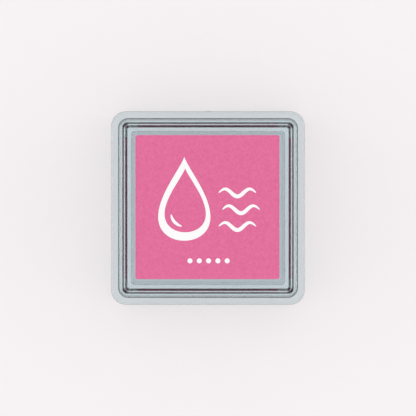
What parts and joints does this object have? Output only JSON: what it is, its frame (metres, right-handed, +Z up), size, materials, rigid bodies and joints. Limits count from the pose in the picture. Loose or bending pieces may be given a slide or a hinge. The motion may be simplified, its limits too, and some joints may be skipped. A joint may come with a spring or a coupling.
{
  "type": "ink pad",
  "caption": "Small square stackable ink pad: a clear moulded base carries a raised inked foam pad under a clear lift-off lid with a printed label.",
  "frame": {"origin": "middle of the underside, on the surface that the pad stands on", "axes": "+Z up through the lid, +Y towards the top edge of the label's print, +X to its right"},
  "size_m": [0.033, 0.0331, 0.02],
  "materials": {
    "clear_plastic": "gloss",
    "adhesive_film": "satin",
    "inked_foam": "satin",
    "printed_label": "satin",
    "base_paper": "matte"
  },
  "bodies": {
    "base": {"base_tray": "clear_plastic", "pad_adhesive": "adhesive_film", "ink_foam": "inked_foam", "base_label": "base_paper"},
    "lid": {"lid_shell": "clear_plastic", "lid_label": "printed_label"}
  },
  "joints": [
    {"name": "lid_lift", "type": "slide", "parent": "base", "child": "lid", "axis": [0, 0, 1], "range_m": [0, 0.03]}
  ]
}
